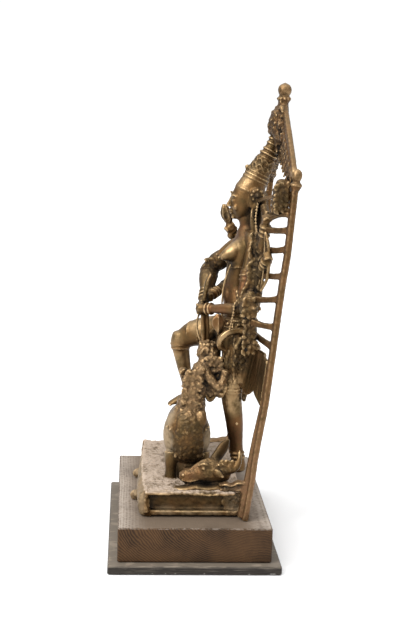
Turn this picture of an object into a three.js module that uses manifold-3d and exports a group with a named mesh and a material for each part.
// A small cast bronze of the goddess Durga slaying the buffalo demon, on its mount.
// The bronze is one casting: goddess, demon, buffalo, pedestal and the arch behind them,
// bridged by cast struts. It rests on an oak block, and the block on a thin black plate.
// Millimetres, +Z up. The goddess faces -Y, so her left hand is on the +X side.
// The origin is the middle of the plate's underside.
import * as THREE from "three";
import { mergeVertices } from "three/addons/utils/BufferGeometryUtils.js";
import Module from "manifold-3d";

const wasm = await Module();
wasm.setup();
const { Manifold, Mesh } = wasm;

// Driving sizes of the mount
const REST_GAP = 0.3;
const PLATE_MARGIN = 6;
const PLATE_THICKNESS = 5.5;
const BLOCK_WIDTH = 147;
const BLOCK_DEPTH = 97;
const BLOCK_HEIGHT = 22.5;
const EDGE_ROUND = 0.8;

// Driving sizes of the pedestal, a box open underneath, with a hollowed panel at each side
const PEDESTAL_WIDTH = 110;
const PEDESTAL_DEPTH = 61;
const PEDESTAL_HEIGHT = 17.7;
const PEDESTAL_CORNER = 4;
const PEDESTAL_WALL = 3;
const FOOT_FLANGE = 4.6;
const TOP_FLANGE = 1.7;
const PANEL_DEPTH = 4.6;
const SIDE_LIFT = 1.5;
const FRONT_BOW = 2;
const FRONT_FLARE = 5.6;
const FLARE_SKEW = 0.45;
const LUG_SPACING = 44;
const LUG_RADIUS = 2;

// Driving sizes of the figure and of the arch behind it
const FIGURE_HEIGHT = 220;
const FIGURE_FORWARD = 4;
const POST_OVERHANG = 3;
const POST_THICKNESS = 3.8;
const POST_WIDTH = 7.5;
const STRUT_THICKNESS = 3.2;
const TYMPANUM_THICKNESS = 3;
const SASH_THICKNESS = 2;

// The figure is drawn on a grid of 220 steps from its soles to the tip of its crown.
const GRID_STEPS = 220;
const STEP = FIGURE_HEIGHT / GRID_STEPS;

const BLOCK_BOTTOM = PLATE_THICKNESS + REST_GAP;
const BLOCK_TOP = BLOCK_BOTTOM + BLOCK_HEIGHT;
const PEDESTAL_BOTTOM = BLOCK_TOP + REST_GAP;
const PEDESTAL_TOP = PEDESTAL_BOTTOM + PEDESTAL_HEIGHT;
const ARCH_HALF = PEDESTAL_WIDTH / 2 + POST_OVERHANG;
const BACK_EDGE = PEDESTAL_DEPTH / 2;

const UP = new THREE.Vector3(0, 0, 1);
const SIDE = new THREE.Vector3(1, 0, 0);
const BACK = new THREE.Vector3(0, 1, 0);
const SIDES = [1, -1];

// A point of the figure's grid: x to her left, y backwards, z up from the pedestal's top
const at = (x, y, z) => new THREE.Vector3(x * STEP, y * STEP - FIGURE_FORWARD, PEDESTAL_TOP + z * STEP);

// Closed solids

// A closed geometry as a solid, with shared vertices merged and its faces pointing out
function solid(geometry) {
  for (const name of Object.keys(geometry.attributes)) {
    if (name !== "position") geometry.deleteAttribute(name);
  }
  const merged = mergeVertices(geometry, 1e-4);
  const position = merged.attributes.position.array;
  const corner = (i) => new THREE.Vector3().fromArray(position, 3 * i);
  const triangles = [];
  let volume = 0;
  for (let i = 0; i < merged.index.count; i += 3) {
    const [a, b, c] = [0, 1, 2].map((k) => merged.index.getX(i + k));
    if (a === b || b === c || c === a) continue;
    triangles.push([a, b, c]);
    volume += corner(a).dot(corner(b).cross(corner(c)));
  }
  const outward = volume < 0 ? triangles.map(([a, b, c]) => [a, c, b]) : triangles;
  return new Manifold(new Mesh({
    numProp: 3,
    vertProperties: Float32Array.from(position),
    triVerts: Uint32Array.from(outward.flat()),
  }));
}

// A skin over rings of points, closed at each end by a fan to a tip
function loft(rings, tips = []) {
  const sides = rings[0].length;
  const points = rings.flat();
  const index = [];
  for (let r = 0; r + 1 < rings.length; r++) {
    for (let s = 0; s < sides; s++) {
      const [a, b] = [r * sides + s, r * sides + ((s + 1) % sides)];
      index.push(a, b, b + sides, a, b + sides, a + sides);
    }
  }
  const middleOf = (ring) => ring.reduce((sum, p) => sum.add(p), new THREE.Vector3()).divideScalar(sides);
  const last = rings.length - 1;
  for (const [ring, tip] of [[0, tips[0]], [last, tips[1]]]) {
    points.push(tip ?? middleOf(rings[ring]));
    for (let s = 0; s < sides; s++) {
      const edge = [ring * sides + s, ring * sides + ((s + 1) % sides)];
      index.push(points.length - 1, ...(ring === last ? edge : edge.reverse()));
    }
  }
  const geometry = new THREE.BufferGeometry().setFromPoints(points);
  geometry.setIndex(index);
  return solid(geometry);
}

// A rounded bar through stations [point, half width, half depth] on the grid's scale, its width
// lying along across, each end a blunt tip
function limb(stations, { sides = 8, across = SIDE, blunt = 0.5 } = {}) {
  const reach = 1 / Math.cos(Math.PI / sides);
  const points = stations.map(([point]) => point);
  const direction = (i) => points[Math.min(i + 1, points.length - 1)].clone()
    .sub(points[Math.max(i - 1, 0)]).normalize();
  const rings = stations.map(([point, width, depth = width], i) => {
    const along = direction(i);
    const first = across.clone().addScaledVector(along, -across.dot(along)).normalize();
    const second = along.clone().cross(first);
    return Array.from({ length: sides }, (_, s) => {
      const turn = ((s + 0.5) * 2 * Math.PI) / sides;
      return point.clone()
        .addScaledVector(first, Math.cos(turn) * width * STEP * reach)
        .addScaledVector(second, Math.sin(turn) * depth * STEP * reach);
    });
  });
  const tip = (i, sign) => {
    const [point, width, depth = width] = stations[i];
    return point.clone().addScaledVector(direction(i), sign * blunt * Math.min(width, depth) * STEP);
  };
  return loft(rings, [tip(0, -1), tip(stations.length - 1, 1)]);
}

// Stations from rows of x, y, z, half width and half depth on the grid
const rows = (...list) => list.map(([x, y, z, ...size]) => [at(x, y, z), ...size]);

// The rows of one side of the body, or of its mirror image
const mirrored = (side, ...list) => rows(...list.map(([x, ...rest]) => [side * x, ...rest]));

// A form turned about a line from base towards aim, from its outline of [radius, height] pairs
function turned(outline, base, aim, sides = 8) {
  const points = outline.map(([radius, height]) => new THREE.Vector2(radius * STEP, height * STEP));
  const geometry = new THREE.LatheGeometry(points, sides);
  geometry.applyQuaternion(new THREE.Quaternion().setFromUnitVectors(BACK, aim.clone().normalize()));
  geometry.translate(...base.toArray());
  return solid(geometry);
}

// The mount

function roundedOutline(width, depth, radius, arcs) {
  const [w, d] = [width / 2 - radius, depth / 2 - radius];
  return [[w, d], [-w, d], [-w, -d], [w, -d]].flatMap(([x, y], quarter) =>
    Array.from({ length: arcs + 1 }, (_, i) => {
      const turn = (Math.PI / 2) * (quarter + i / arcs);
      return new THREE.Vector2(x + radius * Math.cos(turn), y + radius * Math.sin(turn));
    }));
}

// A board with its edges eased all round
function board(width, depth, height, bottom) {
  const outline = roundedOutline(width - 2 * EDGE_ROUND, depth - 2 * EDGE_ROUND, EDGE_ROUND / 2, 1);
  const geometry = new THREE.ExtrudeGeometry(new THREE.Shape(outline), {
    depth: height - 2 * EDGE_ROUND,
    bevelEnabled: true,
    bevelThickness: EDGE_ROUND,
    bevelSize: EDGE_ROUND,
    bevelSegments: 1,
  });
  geometry.translate(0, 0, bottom + EDGE_ROUND);
  return solid(geometry);
}

const makePlate = () =>
  board(BLOCK_WIDTH + 2 * PLATE_MARGIN, BLOCK_DEPTH + 2 * PLATE_MARGIN, PLATE_THICKNESS, 0);

const makeBlock = () => board(BLOCK_WIDTH, BLOCK_DEPTH, BLOCK_HEIGHT, BLOCK_BOTTOM);

// The pedestal

// Where the pedestal's front stands at x: bowed, and flared more towards her left than her right
const frontAt = (x, flare) => {
  const across = (2 * x) / PEDESTAL_WIDTH;
  const bow = FRONT_BOW * (1 - across ** 2);
  return -PEDESTAL_DEPTH / 2 - bow - flare * FRONT_FLARE * (1 - FLARE_SKEW * (1 - across));
};

// One level of the pedestal's outside, set in at the sides and the back, and flared at the front
function pedestalTier(height, inset, flare) {
  const ARCS = 2;
  const front = inset - PEDESTAL_DEPTH / 2;
  const ring = roundedOutline(PEDESTAL_WIDTH - 2 * inset, PEDESTAL_DEPTH - 2 * inset, PEDESTAL_CORNER, ARCS);
  const alongFront = [-0.2, 0, 0.2].map((share) => new THREE.Vector2(share * PEDESTAL_WIDTH, front));
  ring.splice(3 * (ARCS + 1), 0, ...alongFront);
  return ring.map(({ x, y }) =>
    new THREE.Vector3(x, y < 0 ? y - front + frontAt(x, flare) : y, PEDESTAL_BOTTOM + height));
}

// A block to cut from the pedestal between two x, with its four corners [y, height] at each
const cutter = (nearX, farX, nearCorners, farCorners = nearCorners) => loft(
  [[nearX, nearCorners], [farX, farCorners]].map(([x, corners]) =>
    corners.map(([y, height]) => new THREE.Vector3(x, y, PEDESTAL_BOTTOM + height))));

const corners = (front, back, low, high) => [[front, low], [back, low], [back, high], [front, high]];

function pedestal() {
  const BEYOND = 1;
  const FRONT_POST = 2;
  const BACK_POST = 4.5;
  const panelTop = PEDESTAL_HEIGHT - TOP_FLANGE;
  const [halfWidth, halfDepth] = [PEDESTAL_WIDTH / 2, PEDESTAL_DEPTH / 2];
  const outside = loft([
    [0, 0.8, 0.5], [FOOT_FLANGE * 0.4, 0, 0.84], [PEDESTAL_HEIGHT * 0.6, 0.4, 1], [panelTop, 0.9, 0.4],
    [PEDESTAL_HEIGHT, 1.5, 0],
  ].map((tier) => pedestalTier(...tier)));
  const roomHalf = halfWidth - PANEL_DEPTH - PEDESTAL_WALL;
  const room = cutter(-roomHalf, roomHalf, corners(
    PEDESTAL_WALL - halfDepth, halfDepth - PEDESTAL_WALL, -BEYOND, PEDESTAL_HEIGHT - PEDESTAL_WALL));
  const lift = cutter(-halfWidth - BEYOND, halfWidth + BEYOND,
    corners(3 * PEDESTAL_WALL - halfDepth, halfDepth - 3 * PEDESTAL_WALL, -BEYOND, SIDE_LIFT));
  const panels = SIDES.map((side) => cutter(side * (halfWidth + BEYOND), side * (halfWidth - PANEL_DEPTH),
    corners(FRONT_POST - halfDepth, halfDepth - BACK_POST, FOOT_FLANGE, panelTop),
    corners(FRONT_POST + 0.8 - halfDepth, halfDepth - BACK_POST - 0.8, FOOT_FLANGE + 1.4, panelTop)));
  return Manifold.difference([outside, room, lift, ...panels]);
}

// A pierced lug on the front of the foot, for the pole that the image was carried on
function lug(side) {
  const thick = LUG_RADIUS * 0.45;
  const x = side * LUG_SPACING / 2;
  const geometry = new THREE.TorusGeometry(LUG_RADIUS, thick, 4, 6);
  geometry.rotateY(Math.PI / 2);
  geometry.translate(x, frontAt(x, 0.9) - LUG_RADIUS, PEDESTAL_BOTTOM + LUG_RADIUS + thick + REST_GAP);
  return solid(geometry);
}

// The arch

const POST_TOP = 196;
const APEX = 244;

// How many steps the arch stands behind the pedestal's back edge at a height on the grid
const LEAN = [
  [-18, 1.6], [9, 5.2], [22, 6.4], [35, 8.1], [58, 11.6], [87, 14.4], [115, 17], [134, 18.9],
  [153, 21.3], [177, 22.9],
  [196, 24.2], [202, 23.2], [244, 23],
];

function leanAt(z) {
  const next = THREE.MathUtils.clamp(LEAN.findIndex(([height]) => height >= z), 1, LEAN.length - 1);
  const [[low, a], [high, b]] = [LEAN[next - 1], LEAN[next]];
  return THREE.MathUtils.mapLinear(z, low, high, a, b);
}

// A point of the arch: x in millimetres, z on the grid, some steps in front of its middle
const onArch = (x, z, forward = 0) =>
  new THREE.Vector3(x, BACK_EDGE + (leanAt(z) - forward) * STEP, PEDESTAL_TOP + z * STEP);

// The upper edge, from a post where share is 0 to the apex where it is 1: a gable that hardly swells
const GABLE_FOOT = POST_TOP + 6;
const SWELL = 1;
const gable = (side, share, drop = 0) => onArch(side * ARCH_HALF * (1 - share),
  THREE.MathUtils.lerp(GABLE_FOOT, APEX, share) + SWELL * Math.sin(Math.PI * share) - drop);

// The flat bar of the rim: up one post, over the gable and down the other
function rim() {
  const foot = (REST_GAP - PEDESTAL_HEIGHT) / STEP;
  const half = (side) => [
    ...[foot, ...LEAN.slice(1, -3).map(([z]) => z), POST_TOP].map((z) => onArch(side * ARCH_HALF, z)),
    ...[0, 0.5].map((share) => gable(side, share)),
  ];
  const path = [...half(1), onArch(0, APEX), ...half(-1).reverse()];
  return limb(path.map((point) => [point, POST_THICKNESS / 2 / STEP, POST_WIDTH / 2 / STEP]),
    { sides: 4, across: BACK, blunt: 0 });
}

// The thinner moulding inside each post, widest at the foot
function innerMoulding(side) {
  const inward = POST_WIDTH / 2 - 0.6;
  const sizes = [[-16, 2.6, 2.6], [2, 2.6, 2.4], [34, 1.9, 1.9], [61, 0.9, 1.2]];
  return limb(sizes.map(([z, ...size]) => [onArch(side * (ARCH_HALF - inward), z, 2.8 - z / 40), ...size]),
    { sides: 4, across: BACK, blunt: 0.3 });
}

// The shell-shaped bracket that ties each post to the pedestal's corner: how far it stands inside
// the post and before the pedestal's back edge, its height, and its half width and half depth
const BRACKET = [[7, 11.9, 3, 4, 2.6], [5, 8.5, 6.6, 5, 3.4], [3, 2.5, 6.6, 5, 3.6], [2, -1.5, 3, 4, 3]];

const bracket = (side) => limb(BRACKET.map(([inside, before, height, ...size]) => [
  new THREE.Vector3(side * (ARCH_HALF - inside), BACK_EDGE - before, PEDESTAL_TOP + height), ...size,
]), { sides: 6 });

// The carved sheet under the gable, its inner edge cut in leaves
function tympanum() {
  const half = TYMPANUM_THICKNESS / 2 / STEP;
  const STEPS = 5;
  const innerX = ARCH_HALF * 0.86;
  const ring = (side, i) => {
    const share = i / STEPS;
    const outer = gable(side, share);
    const outerZ = (outer.z - PEDESTAL_TOP) / STEP;
    const leaf = i % 2 ? 1.5 : -1;
    const innerZ = THREE.MathUtils.lerp(193, 210, share) + leaf;
    const x = side * innerX * (1 - share);
    return [onArch(outer.x, outerZ, half), onArch(outer.x, outerZ, -half), onArch(x, innerZ, -half),
      onArch(x, innerZ, half + 1)];
  };
  const rings = [];
  for (let i = 0; i < STEPS; i++) rings.push(ring(1, i));
  for (let i = STEPS; i >= 0; i--) rings.push(ring(-1, i));
  return loft(rings);
}

const postKnob = (side) => turned(
  [[0, -2], [2.4, -2], [3.9, 0.6], [3.6, 2.4], [2.2, 3.2], [3.6, 5.8], [3.5, 8.6], [1.8, 10.8], [0, 11.2]],
  onArch(side * (ARCH_HALF + 0.8), POST_TOP - 2, 0.4), new THREE.Vector3(0, 0.1, 1), 6);

const topFinial = () => turned(
  [[0, -6], [4, -6], [2.8, 0], [4.3, 1.6], [4.2, 3.4], [2.6, 4.6], [4.1, 7.8], [4, 10.6], [2.2, 13],
  [0, 13.6]],
  onArch(0, APEX, 0.6), new THREE.Vector3(0, 0.04, 1), 7);

// The face of glory at the top of the arch: brow, bulging eyes, snout and curling fangs
function gloryFace() {
  const parts = [
    limb(rows([0, 57, 242, 4.6, 3], [0, 54.6, 238, 8, 4.6], [0, 54, 233, 8.6, 5], [0, 53.6, 228, 6, 4],
      [0, 53.4, 223, 3.4, 3]),
      { sides: 7 }),
    limb(rows([0, 53, 234.6, 2.4, 2], [0, 50, 231, 2.8, 2.2], [0, 49.4, 229.4, 2.6, 1.8]), { sides: 5 }),
  ];
  for (const side of SIDES) {
    parts.push(limb(mirrored(side, [4.2, 53, 236.6, 2.6], [4.4, 49.8, 236, 2.2]), { sides: 5 }));
    parts.push(limb(mirrored(side, [4, 52.4, 228, 2, 1.8], [10, 53.6, 223.6, 2.2, 1.8],
      [16, 55, 222, 1, 1]),
      { sides: 5, across: UP }));
  }
  return parts;
}

// Limbs

// Stations along a bone from a to b: [share of its length, half thickness]
const bone = (a, b, thick, profile) => profile.map(([share, size]) => [a.clone().lerp(b, share),
  size * thick]);

const UPPER_ARM = [[0, 4.4], [0.4, 4.1], [0.47, 5.5], [0.55, 4.1], [0.94, 3.8]];
const FOREARM = [[0.1, 3.8], [0.5, 3.4], [0.56, 4.6], [0.63, 3.2], [0.72, 4.5], [0.8, 2.7], [0.9, 3.7],
  [1.03, 3.6]];
const PLAIN_FOREARM = [[0.58, 3], [0.7, 4.3], [0.8, 2.6], [0.9, 3.6], [1.04, 3.4]];

// An arm from shoulder over elbow to fist, with an armlet and bangles
function arm(shoulder, elbow, fist, { thick = 1, forearm = PLAIN_FOREARM, sides = 6, across = SIDE } = {}) {
  const [s, e, f] = [shoulder, elbow, fist].map((p) => at(...p));
  return limb([...bone(s, e, thick, UPPER_ARM), ...bone(e, f, thick, forearm)], { sides, across });
}

// The goddess

const torso = () => limb(rows(
  [1, 33, 84, 14.5, 9.4], [2, 33, 94, 16.8, 11], [2, 33, 98, 17, 11.2], [2, 33, 99.4, 18.4, 12.8],
  [1.6, 32.8, 103.4, 18, 12.6],
  [1.4, 32.6, 105, 15.6, 10], [0.6, 31.8, 116, 12, 7.6], [0, 31.2, 126, 9.8, 7.2],
  [0, 31.8, 138, 12.2, 7.2],
  [0, 34.4, 149, 15, 8.2], [0, 36.4, 156, 14.6, 7], [0, 37, 161, 9.4, 7.2], [0, 37, 165, 5.4, 5.4],
  [0, 37, 175, 5, 5.4]),
  { sides: 9 });

const breast = (side) => limb(
  mirrored(side, [5.6, 34, 154, 4.6], [7.2, 29, 149.4, 6.6], [8, 24.6, 146.6, 6.2],
    [8.2, 21, 144.8, 3.6]), { sides: 6 });

function head() {
  const parts = [
    limb(rows([0, 31, 170, 3.6, 3.2], [0, 32, 173, 6.6, 6.4], [0, 33.2, 177.6, 8.6, 9],
      [0, 34.8, 183, 9.2, 9.9], [0, 37.4, 189.6, 8.8, 9]),
      { sides: 8 }),
    limb(rows([0, 25.6, 183, 1.2, 1], [0, 24.4, 176.6, 2, 1.5]), { sides: 4 }),
  ];
  for (const side of SIDES) {
    parts.push(turned([[0, -2], [4, -1.6], [4.6, 0], [3.6, 1.6], [0, 2.4]], at(side * 10, 43, 186.4),
      new THREE.Vector3(side, 0, 0), 5));
    parts.push(limb(mirrored(side, [9.6, 41.6, 182, 1.8], [10, 38.4, 172, 1.4], [11, 40.4, 159, 2]),
      { sides: 4 }));
  }
  return parts;
}

const crown = () => limb(rows(
  [0, 37.4, 187.6, 8.2], [0, 38.6, 190, 9], [0, 40.9, 194.4, 8.4], [0, 41.7, 196.4, 7.4],
  [0, 42.6, 198.6, 8.3],
  [0, 44.2, 201.8, 7], [0, 47.8, 208.8, 5.9], [0, 48.6, 210.6, 6.7], [0, 49.4, 213, 5],
  [0, 50.4, 215.6, 5.4],
  [0, 51.4, 219, 3.8], [0, 53, 225, 2.6]), { sides: 8 });

// The plaque in front of the crown, and the hair down the back
const headdress = () => [
  limb(rows([0, 33.4, 199, 2.6, 1.4], [0, 36.6, 205.2, 2, 1.5]), { sides: 5 }),
  limb(rows([0, 45, 187, 5.6, 2.6], [0, 46.4, 172, 6.8, 3], [0, 44.4, 157, 7.4, 3],
    [0, 41, 143, 4, 2.4]), { sides: 5 }),
];

const standingLeg = () => [
  limb(rows([9, 33, 93, 10.6], [11, 31, 74, 9.2], [11.2, 29.4, 57, 7], [11.3, 29.3, 54, 8.2],
    [11.4, 29.5, 50, 6.6],
    [11.6, 32, 32, 5.8], [11.6, 34, 14, 4.8], [11.6, 34.6, 11, 6.5], [11.6, 35.4, 7.4, 4.8],
    [11.6, 36, 1, 5]),
    { sides: 8 }),
  limb(rows([11.6, 38, 2.6, 4, 3.6], [11.8, 31, 3, 4.4, 3.4], [12.4, 22.6, 1.4, 4.2, 1.8]), { sides: 6 }),
];

const raisedLeg = () => [
  limb(rows([-8, 31, 92, 10.6, 10.2], [-15, 16, 90.4, 10, 9.6], [-20, 5, 87, 9, 8.2],
    [-22, -2, 83, 7, 7]), { sides: 8, across: UP }),
  limb(rows([-22, -4, 86, 5.4, 5.6], [-22, -4.2, 80.6, 6.8, 6.8], [-22, -3.8, 77.6, 7, 7],
    [-22, -3.2, 76, 5.6, 5.8], [-21.8, -0.8, 62, 4.4, 4.6],
    [-20.8, 1.8, 49.6, 3.2, 3.4], [-20.6, 2.2, 47.4, 4.6, 4.8], [-20.4, 3, 40, 3.2, 3.6]),
    { sides: 7 }),
  limb(rows([-20.4, 5.4, 41.4, 3.6, 3.4], [-20.4, -2, 40.8, 3.8, 3], [-20.4, -10.4, 37, 3.4, 1.5]),
    { sides: 6 }),
];

// The apron between the thighs, and the sash bows that stand out at the hips
function girdle() {
  const parts = [
    limb(rows([1, 21.6, 103, 3.4, 1.6], [1.6, 20.6, 96, 4.6, 2.2], [2.4, 20.4, 84, 3.4, 1.8],
      [4, 20, 66, 4.2, 1.8], [5, 20.6, 58, 1.6, 1]),
      { sides: 6 }),
  ];
  for (const side of SIDES) {
    parts.push(limb(mirrored(side, [16, 33, 97.6, 2.4, 1.9], [20.6, 27, 96.6, 3, 2.2],
      [21.2, 20.6, 91.6, 3, 2.4],
      [20, 21.4, 86, 2.4, 2], [17, 28, 85, 1.8, 1.6]), { sides: 5 }));
    parts.push(limb(mirrored(side, [18.4, 33, 99, 3, 3.4], [19.6, 31.6, 90, 3.6, 4],
      [18.6, 32.6, 82, 2.2, 2.6]), { sides: 5 }));
  }
  return parts;
}

// Looped sash ends that hang beside the standing leg and between the legs
const sashEnds = () => [
  [[13, 24, 82, 1.6, 1.4], [15.4, 19, 64, 3.2, 2], [15, 17, 54, 3.6, 2.6], [14.6, 17.6, 48.6, 1.6, 1.4]],
  [[14, 26, 80, 1.6, 1.4], [16, 24.6, 66, 2.8, 1.8], [15.4, 23.4, 56.6, 3, 2], [15, 23, 53, 1.2, 1]],
  [[16, 35, 82, 1.6, 1.6], [17, 38.4, 66, 2.8, 2], [15, 38, 52, 2.6, 2], [14, 37.6, 48.6, 1.2, 1.2]],
  [[-5, 22, 84, 2, 1.6], [-3, 20, 70, 3.4, 1.8], [-1, 19, 57, 3, 1.8]],
].map((list) => limb(rows(...list), { sides: 5 }));

// The pleated wing of sash that spreads from each hip to the arch, with a scalloped hem:
// [x, y and z of its upper edge, y and z of its hem]
const WING = [
  [13, 37, 97, 33.6, 64], [20, 41.6, 92, 36, 58.6], [27, 44.6, 88.6, 38.4, 56.8], [34, 43.6, 88, 41.4, 61],
  [41, 46.6, 87, 42, 59.6], [48, 45.8, 86.4, 44.6, 55], [57, 46.6, 85.4, 43.8, 58],
];

const wing = (side) => loft(WING.map(([x, topY, topZ, hemY, hemZ]) => {
  const half = SASH_THICKNESS / 2 / STEP;
  return [at(side * x, topY - half, topZ), at(side * x, topY + half, topZ),
    at(side * x, hemY + half, hemZ), at(side * x, hemY - half, hemZ)];
}));

const goddessArms = () => [
  arm([16, 39.6, 154], [27.4, 31.6, 113.4], [3.6, 8, 108.6], { thick: 1.04, forearm: FOREARM, across: UP }),
  arm([-15.6, 38, 153], [-29.6, 13.6, 130.4], [-3, 9, 110.4], { thick: 1.04, forearm: FOREARM }),
  arm([14, 42, 154], [33, 43, 150], [42, 44, 172], { sides: 5, across: BACK }),
  arm([-14, 42, 154], [-35, 38, 149], [-32.4, 29, 158], { sides: 5, across: BACK }),
  arm([15, 42, 150], [35, 43, 137], [46, 45, 149], { sides: 5, across: BACK }),
  arm([-15, 42, 150], [-35, 43, 137], [-46, 45, 149], { sides: 5, across: BACK }),
  arm([14, 41, 146], [31, 40, 124], [41, 38, 117], { sides: 5, across: BACK }),
  arm([-14, 38, 148], [-26, 27, 121], [-5, 14, 116], { sides: 5 }),
];

// What the hands hold

const trident = () => [
  limb(rows([0, 13.8, 131.4, 2.2, 1.6], [1.6, 9.4, 114, 1.6], [2.4, 8.8, 104, 1.6], [3.6, 10.6, 87, 1.6],
    [3.7, 10.8, 85, 3], [3.8, 11, 82, 3],
    [4, 11.2, 80, 1.4], [6, 12, 70, 1.2]), { sides: 5 }),
  ...SIDES.map((side) => limb(rows([3.8, 11, 84, 1.2], [4 + side * 5, 11.4, 80, 1.3],
    [5.6 + side * 5, 12, 71, 0.9]), { sides: 5 })),
];

// The conch, ringed with flames
function conch() {
  const parts = [limb(rows([42.6, 47, 175, 2.4], [45, 51.6, 181, 4.8], [46, 53, 187, 5.6, 4.6],
    [46, 53.4, 193, 3.4], [46, 53.6, 198, 1]), { sides: 5 })];
  for (const [x, z] of [[37.6, 189], [54.4, 189]]) {
    parts.push(limb(rows([46, 52.6, 186, 3, 2.4], [x, 53.4, z, 2, 2.4], [x, 53.8, z + 5, 0.7]),
      { sides: 5, across: BACK }));
  }
  return parts;
}

const bow = () => limb(rows([44, 43.6, 165, 1], [47.6, 46.4, 157, 1.4], [48, 47, 147, 1.7],
  [46.6, 46, 136, 1.4], [44, 42, 128, 1]), { sides: 5 });

// A ribbed bell, with the tuft above it in the same hand
const bell = () => [
  limb(rows([40, 37, 112, 3.6], [40, 37, 109, 5], [40, 37, 106.4, 3.8], [40, 37, 104, 5.4],
    [40, 37, 101.4, 4.2],
    [40, 37, 98.6, 5.8], [40, 37, 96.6, 5.4]), { sides: 6 }),
  limb(rows([36, 34.8, 112, 2.6], [38, 35.8, 117, 6.2, 6.4], [38, 36.6, 123, 4.4, 5]), { sides: 6 }),
];

const thunderbolt = () => turned([[0, -7], [3.4, -5], [3.6, -2], [1.8, 0.6], [2.8, 3.6], [2.8, 8.6],
  [1.4, 13], [0, 14]],
  at(-32.4, 27, 163), new THREE.Vector3(0, -0.25, 1), 5);

const sword = () => limb(rows([-46, 44, 144, 1.4], [-47, 45, 154, 1.4], [-47, 45, 155, 3.6, 2],
  [-47, 45.2, 157, 3.6, 2], [-47, 45.2, 158, 2.6, 1.1],
  [-46, 46, 178, 2.6, 1.1], [-40, 47, 194, 1, 0.8]), { sides: 6 });

// The cast bridges to the posts: [x, y, z] where each springs from the figure and z at the post
const BRIDGES = [
  [42, 47, 175.4, 178.6], [40, 43, 166.4, 168], [45, 45, 151.4, 155], [36, 43, 137, 139.6],
  [40, 39, 122, 125.4],
  [43, 38, 107.6, 107.6], [20, 38, 98.6, 95],
  [-44, 46, 182, 182], [-46, 45.6, 167, 168], [-46, 45, 150.4, 155], [-36, 43, 137, 139.6],
  [-7, 36, 123, 125.4],
  [-14, 38, 107, 107.6], [-20, 38, 98.6, 95],
];

const struts = () => BRIDGES.map(([x, y, z, end]) => {
  const half = STRUT_THICKNESS / 2 / STEP;
  const post = onArch(Math.sign(x) * (ARCH_HALF - 0.5), end, 0.3);
  return limb([[at(x, y, z), half], [post, half]], { sides: 4, across: UP, blunt: 0 });
});

// The tie from the head to the raised conch
const conchTie = () => limb(rows([7, 41, 181, 1.5], [42, 50.6, 188, 1.5]), { sides: 4, across: UP });

// The demon who rises from the buffalo's cut neck

const demon = () => [
  limb(rows([17, 1, 40, 10.6], [16.6, 2, 45, 8.6], [16.4, 2.6, 48, 10], [16, 3.4, 51.4, 7.4],
    [15.4, 5, 57, 7], [13.6, 8, 63, 8, 7.4],
    [12.2, 9.8, 69.6, 8, 7], [11, 10.8, 73.6, 4.8, 4.6], [10, 11, 76, 3.6, 3.6]), { sides: 8 }),
  limb(rows([9.6, 10, 75.4, 3.2, 3.2], [9, 10.8, 79, 4.8, 5.2], [9, 11.6, 83, 5, 5.4],
    [9, 12.2, 86, 4, 4.2], [9, 12.8, 88.4, 1.6]),
    { sides: 6 }),
  limb(rows([19, 11, 68.6, 3.2], [24, 19.4, 60, 2.6], [21, 23, 66, 2.4], [20, 24, 70, 3]), { sides: 5 }),
  limb(rows([5, 7.4, 67.6, 3.2], [-1.4, 1, 58, 2.6], [2, -2, 63, 2.4], [3.6, -3.6, 66.6, 3]), { sides: 5 }),
];

// The buffalo, its body across the pedestal and its cut head at the near end

function buffalo() {
  const parts = [
    limb(rows([-45, 3, 18, 7, 6], [-38, 2, 21, 12, 11.6], [-18, 1, 22.6, 14.6, 13.8],
      [2, 0.4, 24.6, 17, 14.6], [16, 0, 26, 20.4, 15.8],
      [24, 0, 24.6, 18.6, 14.8], [28.6, 0, 23, 12, 10.4]), { sides: 8, across: UP }),
    limb(rows([-44, 3, 24, 1.8], [-50, 6, 19, 1.6], [-50, 9, 8, 1.4], [-45, 11, 1, 2.2]), { sides: 4 }),
  ];
  for (const [x, y, z] of [[24, -9.8, 14], [24, 10, 14], [-37, -8, 14], [-37, 10, 14]]) {
    parts.push(limb(rows([x, y, z, 5], [x + 2.4, y * 1.08, 4, 2.8], [x + 2.6, y * 1.08, -0.4, 3.8]),
      { sides: 5, blunt: 0 }));
  }
  return parts;
}

const buffaloHead = () => [
  limb(rows([46, -4, 7, 3, 3.2], [46, -1.4, 6.8, 4.8, 4.8], [46, 3, 7.4, 4.6, 4.6],
    [45.6, 9.6, 9.4, 7, 6.8], [45, 16, 9.6, 7.6, 7.4],
    [44, 25, 7.8, 4.6, 5]), { sides: 7, across: UP }),
  limb(rows([50.4, 15, 12.4, 1.8], [54, 18, 11.6, 2.6, 1.6], [55.4, 21.6, 9.6, 0.8]),
    { sides: 5, across: UP }),
  limb(rows([46, 18, 12, 3.2], [48.4, 25, 11.8, 2.8], [49, 30.6, 14.4, 2.3], [48, 32.4, 20, 1.6],
    [46.6, 32.4, 24.4, 0.5]), { sides: 5 }),
  limb(rows([42, 16, 13.6, 3.2], [39.4, 19.6, 18.4, 2.7], [37, 23.4, 23.6, 2], [36, 26, 27.4, 0.5]),
    { sides: 5 }),
  limb(rows([47, -7, 0, 5, 1.6], [45.6, 8, 1.2, 7.6, 3.2], [45.6, 24, 0.6, 6, 2.4]), { sides: 6 }),
];

// The finished pieces

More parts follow.
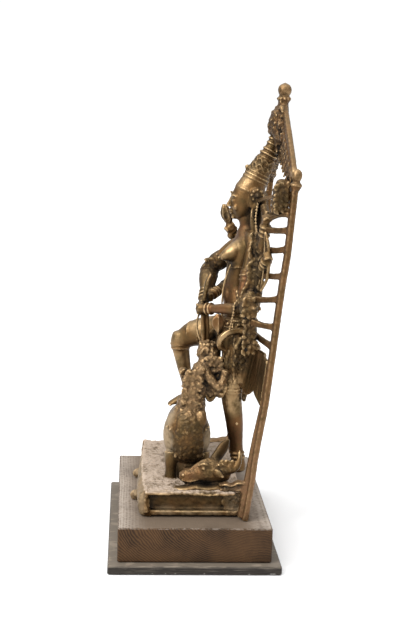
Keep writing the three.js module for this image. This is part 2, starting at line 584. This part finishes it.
const bronze = () => Manifold.union([
  pedestal(), rim(), tympanum(), topFinial(), gloryFace(), torso(), head(), crown(), headdress(),
  standingLeg(), raisedLeg(),
  girdle(), sashEnds(), goddessArms(), trident(), conch(), bow(), bell(), thunderbolt(), sword(),
  struts(), conchTie(),
  demon(), buffalo(), buffaloHead(),
  SIDES.map((side) => [lug(side), innerMoulding(side), bracket(side), postKnob(side), breast(side),
    wing(side)]),
].flat(2));

// The outer skin of a joined solid: the small bubbles left where forms overlap are filled
function outerSkin(body) {
  const { vertProperties, triVerts } = body.getMesh();
  const vertexCount = vertProperties.length / 3;
  const leader = Array.from({ length: vertexCount }, (_, i) => i);
  const find = (i) => {
    while (leader[i] !== i) i = leader[i] = leader[leader[i]];
    return i;
  };
  const corner = (i) => new THREE.Vector3().fromArray(vertProperties, 3 * i);
  const volumes = new Map();
  for (let i = 0; i < triVerts.length; i += 3) {
    leader[find(triVerts[i])] = find(triVerts[i + 1]);
    leader[find(triVerts[i + 1])] = find(triVerts[i + 2]);
  }
  for (let i = 0; i < triVerts.length; i += 3) {
    const [a, b, c] = [0, 1, 2].map((k) => corner(triVerts[i + k]));
    const shell = find(triVerts[i]);
    volumes.set(shell, (volumes.get(shell) ?? 0) + a.dot(b.cross(c)));
  }
  const index = [];
  for (let i = 0; i < triVerts.length; i += 3) {
    if (volumes.get(find(triVerts[i])) > 0) index.push(triVerts[i], triVerts[i + 1], triVerts[i + 2]);
  }
  return { vertProperties, index };
}

function piece(name, body, colour, roughness, metalness) {
  const { vertProperties, index } = outerSkin(body);
  const geometry = new THREE.BufferGeometry();
  geometry.setAttribute("position", new THREE.BufferAttribute(Float32Array.from(vertProperties), 3));
  geometry.setIndex(index);
  const material = new THREE.MeshStandardMaterial({ color: colour, roughness, metalness });
  const mesh = new THREE.Mesh(geometry, material);
  mesh.name = name;
  return mesh;
}

const group = new THREE.Group();
group.add(piece("base_plate", makePlate(), 0x35322f, 0.6, 0));
group.add(piece("oak_block", makeBlock(), 0x4f3a28, 0.7, 0));
group.add(piece("bronze_durga", bronze(), 0x7a5a35, 0.42, 1));

export default group;
